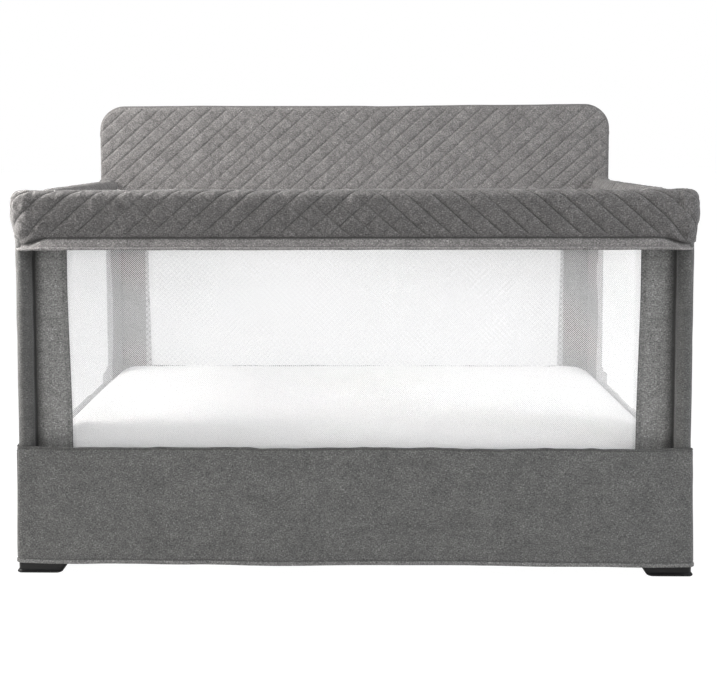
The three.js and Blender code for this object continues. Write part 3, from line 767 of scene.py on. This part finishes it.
def make_headboard(material):
    low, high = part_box("headboard_cover")
    front_y, back_y = 0.328, high.y
    thick = back_y - front_y
    edge, corner = 0.009, 0.050
    top, bottom, end = high.z, low.z, high.x + 0.002
    x = eased_steps(end, edge, 330, 9)
    over = np.clip((np.abs(x) - (end - edge)) / edge, 0, 1)
    fullness = np.sqrt(np.clip(1 - over**2, 0.0004, 1))
    into_corner = np.clip(np.abs(x) - (end - corner), 0, corner)
    crest = top - corner + np.sqrt(np.clip(corner**2 - into_corner**2, 0, None))
    crest = crest - 0.002 * hill(x, 0.3) + 0.0008 * noise(x, 0 * x, (0.06, 1), 40)
    face_steps, edge_steps = 88, 10
    # round the section: up the front, over, down the back and under
    up = np.linspace(0, 1, face_steps)
    half_turn = np.linspace(0, math.pi, edge_steps + 2)[1:-1]
    depth = np.concatenate([np.full(face_steps, -1), -np.cos(half_turn), np.full(face_steps, 1),
                            np.cos(half_turn)])
    rings = np.zeros((len(x), len(depth), 3))
    rings[..., 0] = x[:, None]
    rings[..., 1] = (front_y + back_y) / 2 + depth * fullness[:, None] * thick / 2
    low_edge, high_edge = bottom + edge, crest - edge
    span = (high_edge - low_edge)[:, None]
    rings[..., 2] = np.concatenate([
        low_edge + up * span,
        high_edge[:, None] + edge * np.sin(half_turn),
        low_edge + up[::-1] * span,
        low_edge - edge * np.sin(half_turn) + 0 * span], 1)
    u = np.broadcast_to(x[:, None], rings.shape[:2]).copy()
    v = rings[..., 2] - bottom
    v = np.where(depth > 0, 2 * (top - bottom) - v, v)
    flatness = smooth(np.minimum(end - np.abs(x), 0.03), 0.001, 0.01)[:, None]
    face = flatness * smooth(crest[:, None] - rings[..., 2], 0.002, 0.008)
    facing = np.where(np.abs(depth) == 1, depth, 0.0)
    lean = smooth(u, -0.1, 0.5)
    rising = pull(u, v, 0.85 - 0.15 * lean, 43) * face
    falling = pull(u, v, 0.5, 44) * face
    sewn = quilting(u, v, HEAD_PITCH, 0.0012, rising, falling)
    bulge = 0.0009 * noise(u, v, (0.09, 0.07), 41) + 0.0004 * noise(u, v, (0.03, 0.025), 42)
    rings[..., 1] += facing * (sewn + bulge * face)
    front = slice(0, face_steps)
    held = sewn_points(u, v, HEAD_PITCH, rising, falling)
    rings[:, front] = settle(rings[:, front], held[:, front], 0.012)
    rim = np.abs(crest[:, None] - rings[..., 2])
    seam = 0.75 * hill(rim - 0.0014, 0.0016)
    pad = loft("headboard_pad", rings, material, u, v, seam=seam * flatness, rising=rising,
               falling=falling)
    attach(pad, "rear_frame")
    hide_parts("headboard_cover")


# ---- fabric corners, mesh windows and side walls ----

SLEEVE_R = 0.0118
BAND_EDGE = {"front": 0.4285, "rear": 0.4175}
BAND_BOW = 0.0045                # the edge of a band reaches further in at its foot
HEM = 0.011
HEM_STITCHES = (0.0035, 0.0075)  # two rows of stitches, this far from the edge of a band
CLOTH_THICK = 0.0012
SIDE_BAND = 0.106                # the width of a side wall's bands
INTO_RIM = 0.012                 # a side wall reaches this far up into the rim pad


def corner_line(edge_x, band_y, post):
    """In plan, in the right rear corner: the band's edge, a tuck, and round the post."""
    sleeve_x = post[0] - SLEEVE_R
    band = [(edge_x, band_y), (sleeve_x - 0.013, band_y), (sleeve_x - 0.006, band_y - 0.0016)]
    tuck = [(sleeve_x - 0.0012, band_y - 0.0042), (sleeve_x + 0.0004, band_y - 0.0008)]
    round_post = arc(post, SLEEVE_R, 190, -60, 30)
    return resample(np.vstack([band, tuck, round_post]), 0.0022)


def make_corner_fabric(material):
    low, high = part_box("rear_right_corner_fabric")
    post_low, post_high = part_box("rear_right_post")
    post = ((post_low.x + post_high.x) / 2, (post_low.y + post_high.y) / 2)
    band_y = low.y + 0.005
    z = np.linspace(low.z + 0.018, high.z - 0.010, 96)
    for e, (end, sign_y) in enumerate(ENDS):
        line = corner_line(BAND_EDGE[end], band_y, post)
        band_end = post[0] - SLEEVE_R - BAND_EDGE[end]
        for s, (side, sign_x) in enumerate(SIDES):
            grid, u, v = standing_grid(line, z)
            on_band = 1 - smooth(u, band_end - 0.018, band_end)
            grid[..., 0] -= BAND_BOW * (1 - smooth(v, 0.2, 0.45)) * (1 - smooth(u, 0, 0.05))
            seed = 50 + 10 * e + s
            out = normals(grid, (0.3, 1, 0))
            waves = 0.0011 * noise(u, v, (0.024, 0.11), seed) * on_band
            waves += 0.0004 * noise(u, v, (0.012, 0.03), seed + 4)
            sewn = sum(hill(u - at, 0.001) for at in HEM_STITCHES)
            grid = grid + out * (waves - 0.0004 * sewn)[..., None]
            from_tuck = u - band_end
            # Painted shade: the sleeve is painted darker beside its tuck and fading across the post's
            # front, where shade falls; darker on the left post than on the right, for how the light falls.
            painted_tuck_shade = 0.45 * hill(from_tuck, 0.0022)
            depth = 0.9 if side == "left" else 0.55
            painted_tuck_shade += depth * np.exp(-np.abs(from_tuck) / np.where(from_tuck > 0, 0.024, 0.008))
            edge = hill(u, 0.0012)
            grid *= np.array([sign_x, sign_y, 1])
            # Painted light: the band is painted lighter for the light that shines through its thin cloth
            # from inside the crib.
            piece = thick_sheet(f"{end}_{side}_post_sleeve", grid, CLOTH_THICK,
                                (0.3 * sign_x, sign_y, 0), material, u, v, lift=0.95 * on_band,
                                seam=np.clip(0.5 * sewn + 0.6 * edge + painted_tuck_shade, 0, 1))
            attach(piece, f"{end}_frame")
            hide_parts(f"{end}_{side}_corner_fabric")


def open_sheet(name, grid, material, u, v, seam):
    return make_piece(name, grid.reshape(-1, 3), grid_faces(*u.shape), material, u, v, seam=seam)


def make_windows(net):
    """The front and rear mesh windows, behind their bands, with a hem at each side."""
    for e, (end, sign_y) in enumerate(ENDS):
        low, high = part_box(f"{end}_mesh")
        half, y = BAND_EDGE[end] + 0.006, min(abs(low.y), abs(high.y)) - 0.0006
        xs = np.linspace(-half, half, 211)
        z = np.linspace(low.z, high.z, 60)
        u, v = np.meshgrid(xs, z, indexing="ij")
        sag = 0.0008 * noise(u, v, (0.11, 0.09), 70 + e)
        grid = np.stack([u, sign_y * (y + sag), v], -1)
        hem = 1 - smooth(half - np.abs(u), HEM + 0.0045, HEM + 0.0055)
        window = open_sheet(f"{end}_mesh_window", grid, net, u, v, hem)
        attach(window, f"{end}_frame")
        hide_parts(f"{end}_mesh")


def side_wall_grid(sign, y_from, y_to, low, high, spacing, seed):
    """Part of a side wall, which leans out at its top into the rim pad."""
    y = np.linspace(y_from, y_to, round(abs(y_to - y_from) / spacing) + 1)
    z = np.linspace(low.z, high.z + INTO_RIM, 70)
    u, v = np.meshgrid(y, z, indexing="ij")
    x = (abs(low.x) + abs(high.x)) / 2 + 0.0085 * smooth(v, high.z - 0.035, high.z + INTO_RIM)
    x = x + 0.0008 * noise(u, v, (0.09, 0.08), seed)
    return np.stack([sign * x, u, v], -1), u, v


def make_side_walls(net, cloth):
    """A mesh window and two fabric bands on each side."""
    for s, (side, sign) in enumerate(SIDES):
        low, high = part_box(f"{side}_side_mesh")
        end, height = high.y, high.z + INTO_RIM - low.z
        half = end - SIDE_BAND + 0.012
        grid, u, v = side_wall_grid(sign, -half, half, low, high, 0.004, 80 + s)
        hem = 1 - smooth(half - np.abs(u), HEM, HEM + 0.001)
        window = open_sheet(f"{side}_mesh_window", grid, net, u, v, hem)
        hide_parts(f"{side}_side_mesh")
        pieces = [window]
        for e, (name, sign_y) in enumerate(ENDS):
            grid, u, v = side_wall_grid(sign, sign_y * (end - SIDE_BAND), sign_y * end, low, high,
                                        0.0025, 90 + 2 * s + e)
            grid[..., 0] += sign * (0.0012 + 0.0009 * noise(u, v, (0.03, 0.12), 95 + s))
            from_edge = np.abs(u) - (end - SIDE_BAND)
            sewn = sum(hill(from_edge - at, 0.0012) for at in HEM_STITCHES)
            band = thick_sheet(f"{side}_{name}_side_band", grid, CLOTH_THICK, (sign, 0, 0), cloth,
                               u, v, seam=0.3 * sewn)
            pieces.append(band)
        for piece in pieces:
            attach(piece, "rear_frame")
            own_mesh(piece)


# ---- skirts ----

SKIRT_THICK = 0.0014


def skirt_rows(bottom, top):
    """Heights of a skirt's rows, close together at its hem and at its top edge."""
    hem = np.linspace(bottom, bottom + 0.012, 13)
    middle = np.linspace(bottom + 0.012, top - 0.006, 52)
    edge = np.linspace(top - 0.006, top, 8)
    return np.concatenate([hem, middle[1:], edge[1:]])


def skirt_piece(name, line, bottom, top, out_of, material, seed, flare, lean=0.0):
    """A skirt along a plan line, hemmed at its foot, bound at its top and gently waved.

    Its top leans inwards by lean, except beside the posts.
    """
    grid, u, v = standing_grid(line, skirt_rows(bottom, top))
    length = u[-1, 0]
    edge_wave = 0.0011 * noise(u, 0 * u, (0.05, 1), seed) + 0.0006 * noise(u, 0 * u, (0.017, 1), seed + 1)
    grid[..., 2] += edge_wave * smooth(v, top - 0.05, top)
    grid[..., 2] += 0.0009 * noise(u, 0 * u, (0.08, 1), seed + 2) * (1 - smooth(v, bottom, bottom + 0.04))
    out = normals(grid, out_of)
    down = 1 - smooth(v, bottom, top)
    swell = flare * down + 0.0016 * noise(u, v, (0.13, 0.2), seed + 3) * (0.3 + down)
    swell += 0.0007 * noise(u, v, (0.03, 0.05), seed + 4)
    from_post = np.minimum(u, length - u)
    swell -= lean * smooth(v, top - 0.045, top - 0.004) * smooth(from_post, 0.055, 0.095)
    hem_line = hill(v - bottom - 0.0064, 0.0009)
    bind_line = hill(v - top + 0.0028, 0.0008)
    swell += 0.0011 * (1 - smooth(v, bottom + 0.0035, bottom + 0.0062)) - 0.0006 * (hem_line + bind_line)
    grid = grid + out * swell[..., None]
    seam = np.clip(0.45 * hem_line + 0.75 * bind_line + smooth(v, top - 0.0012, top), 0, 1)
    # Painted light: the rolled hem is painted lighter, for the light from above that falls on it.
    lift = 0.5 * (1 - smooth(v, bottom + 0.0045, bottom + 0.006))
    piece = thick_sheet(name, grid, SKIRT_THICK, out_of, material, u, v, seam=seam, lift=lift)
    return piece


def make_skirts(material):
    wrap, radius, outward = 0.016, 0.007, 0.0024
    for e, (end, sign_y) in enumerate(ENDS):
        low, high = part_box(f"{end}_skirt")
        x, y = high.x + outward, max(abs(low.y), abs(high.y)) + outward
        half = np.vstack([[(x, y - radius - wrap)], arc((x - radius, y - radius), radius, 0, 90, 9)])
        line = resample(np.vstack([half, half[::-1] * np.array([-1, 1])]), 0.0035)
        skirt = skirt_piece(f"{end}_hanging_skirt", line * np.array([1, sign_y]), low.z, high.z - 0.0012,
                            (0, sign_y, 0), material, 100 + 10 * e, 0.0045)
        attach(skirt, f"{end}_frame")
        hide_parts(f"{end}_skirt")
    for s, (side, sign) in enumerate(SIDES):
        low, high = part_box(f"{side}_side_skirt")
        x = (abs(low.x) + abs(high.x)) / 2 + 0.003
        line = resample([(sign * x, low.y), (sign * x, high.y)], 0.0045)
        skirt = skirt_piece(f"{side}_hanging_skirt", line, low.z, high.z + 0.006, (sign, 0, 0), material,
                            120 + 10 * s, 0.0008, lean=0.020)
        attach(skirt, "rear_frame")
        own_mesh(skirt)
        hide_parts(f"{side}_side_skirt")


# ---- mattress ----

# where the fitted sheet is drawn into the corners
SHEET_CREASES = [
    ((0.455, 0.312), (0.36, 0.2), 0.008, 0.003), ((0.46, 0.29), (0.41, 0.17), 0.007, 0.0025),
    ((0.43, 0.315), (0.3, 0.26), 0.008, 0.002), ((0.44, -0.3), (0.37, -0.19), 0.009, 0.003),
    ((0.455, -0.27), (0.42, -0.13), 0.008, 0.002), ((0.41, -0.31), (0.29, -0.26), 0.009, 0.002)]


def make_mattress(material):
    low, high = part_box("rear_mattress_half")
    front_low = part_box("front_mattress_half")[0]
    half_x, half_y = high.x + 0.002, (high.y - front_low.y) / 2 + 0.002
    corner, edge = 0.055, 0.055
    x, y = np.meshgrid(eased_steps(half_x, edge, 129, 8), eased_steps(half_y, edge, 85, 8),
                       indexing="ij")
    # the square corners of the grid are drawn in to round ones
    p = np.clip((np.abs(x) - half_x + corner) / corner, 0, 1)
    q = np.clip((np.abs(y) - half_y + corner) / corner, 0, 1)
    px = half_x - corner + corner * p * np.sqrt(1 - q**2 / 2)
    py = half_y - corner + corner * q * np.sqrt(1 - p**2 / 2)
    plan_x = np.where(p > 0, np.sign(x) * px, x)
    plan_y = np.where(q > 0, np.sign(y) * py, y)
    inset = np.minimum(half_x - np.abs(x), half_y - np.abs(y))
    full = np.sqrt(1 - (1 - np.clip(inset / edge, 0, 1)) ** 2)
    middle = (low.z + high.z) / 2
    creases = 0.0012 * noise(x, y, (0.14, 0.11), 140) + 0.0006 * noise(x, y, (0.05, 0.035), 141)
    creases = creased(creases, x, y, SHEET_CREASES)
    top = middle + (high.z - middle + 0.0015) * full + creases * smooth(inset, 0, 0.03)
    under = middle - (middle - low.z) * full
    # the top and the underside share their border
    upper, lower = (np.stack([plan_x, plan_y, z], -1).reshape(-1, 3) for z in (top, under))
    faces = grid_faces(*x.shape)
    inside = np.setdiff1d(np.arange(x.size), grid_border(*x.shape))
    below = np.arange(x.size)
    below[inside] = x.size + np.arange(len(inside))
    u, v = (np.concatenate([a.ravel(), a.ravel()[inside]]) for a in (x, y))
    pad = make_piece("mattress", np.concatenate([upper, lower[inside]]),
                     np.concatenate([faces, below[faces][:, ::-1]]), material, u, v)
    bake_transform(pad)
    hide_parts("rear_mattress_half", "front_mattress_half")


# ---- feet ----

# Height, and how far the outline lies from the foot's inner end and from its outer faces. A bead
# runs round the sole, and the inner end is cut back below.
FOOT_RINGS = [(0, 22, 3), (0.8, 18.5, 1), (2, 16.5, 0.1), (3.2, 15.5, 0), (4.6, 15, 1.2), (5.4, 14.5, 2.2),
              (6.5, 13.5, 2.4), (10, 11, 2.2), (16, 6.4, 2.2), (16.6, 6, 2.6), (17, 5.6, 4.6),
              (17.6, 5.2, 5.4), (24, 0.8, 5.6), (29, 0, 5.6), (35, 0.4, 5.6), (39, 3.2, 5.6),
              (48, 25, 5.6), (56, 45, 5.7), (58, 50, 6.8)]


def foot_ring(x0, x1, y0, y1, z, radius=0.007):
    corners = [((x1 - radius, y1 - radius), 0), ((x0 + radius, y1 - radius), 90),
               ((x0 + radius, y0 + radius), 180), ((x1 - radius, y0 + radius), 270)]
    plan = np.vstack([arc(c, radius, a, a + 90, 7) for c, a in corners])
    return np.concatenate([plan, np.full((len(plan), 1), z)], 1)


def make_feet(material):
    low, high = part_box("rear_right_foot")
    outer_x, outer_y = high.x + 0.0025, high.y + 0.002
    rings = np.stack([foot_ring(low.x + a * MM, outer_x - b * MM, low.y, outer_y - b * MM, z * MM)
                      for z, a, b in FOOT_RINGS])
    for end, sign_y in ENDS:
        for side, sign_x in SIDES:
            turned = rings * np.array([sign_x, sign_y, 1])
            zero = np.zeros(turned.shape[:2])
            foot = loft(f"{end}_{side}_moulded_foot", turned, material, zero, zero)
            rounding = foot.modifiers.new("rounding", "SUBSURF")
            rounding.levels = rounding.render_levels = 1
            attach(foot, f"{end}_frame")
            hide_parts(f"{end}_{side}_foot")


# ---- the object ----

make_camera()
make_world()
make_lights()
make_floor()

QUILTED_GREY = (0.1, 0.0965, 0.0955)
WOVEN_GREY = (0.099, 0.099, 0.097)
rail_cloth = melange("quilted_rail_cloth", QUILTED_GREY, RAIL_PITCH)
# Painted light: the same quilted cloth as the rail, painted 1.4 times lighter for the stronger light that
# falls on the headboard.
painted_lit_head_cloth = melange("quilted_head_cloth_painted_lighter", tinted(QUILTED_GREY, 1.4), HEAD_PITCH)
plain_cloth = melange("plain_cloth", WOVEN_GREY)
net = mesh_net("white_net")
black = hard("moulded_black", (0.0025, 0.0025, 0.003), (0.007, 0.007, 0.0075), 0.42, 1400, 0.0002,
             Specular_IOR_Level=0.3)

make_front_pad(rail_cloth)
make_side_pads(rail_cloth)
make_headboard(painted_lit_head_cloth)
make_corner_fabric(plain_cloth)
make_windows(net)
make_side_walls(net, plain_cloth)
make_skirts(plain_cloth)
make_mattress(sheet_cotton("white_sheet"))
make_feet(black)

finishes = {
    "steel_tube": hard("powder_coated_tube", (0.032, 0.032, 0.035), (0.06, 0.06, 0.064), 0.42, 2200,
                       0.0001, Metallic=0.35),
    "plated_steel": hard("zinc_plate", (0.42, 0.43, 0.45), (0.62, 0.63, 0.64), 0.3, 900, 0.00005,
                         Metallic=1.0),
    "black_plastic": black,
    "grey_plastic": hard("moulded_grey", (0.045, 0.045, 0.048), (0.08, 0.08, 0.084), 0.5, 1400, 0.0002),
    "button_plastic": hard("smooth_button", (0.016, 0.016, 0.017), (0.026, 0.026, 0.028), 0.25, 500,
                           0.00002, Coat_Weight=0.3),
    "fibreboard": board_grain("brown_fibreboard"),
}
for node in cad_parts.values():
    slot_name = node.material_slots[0].material.name
    if slot_name in finishes:
        node.material_slots[0].material = finishes[slot_name]
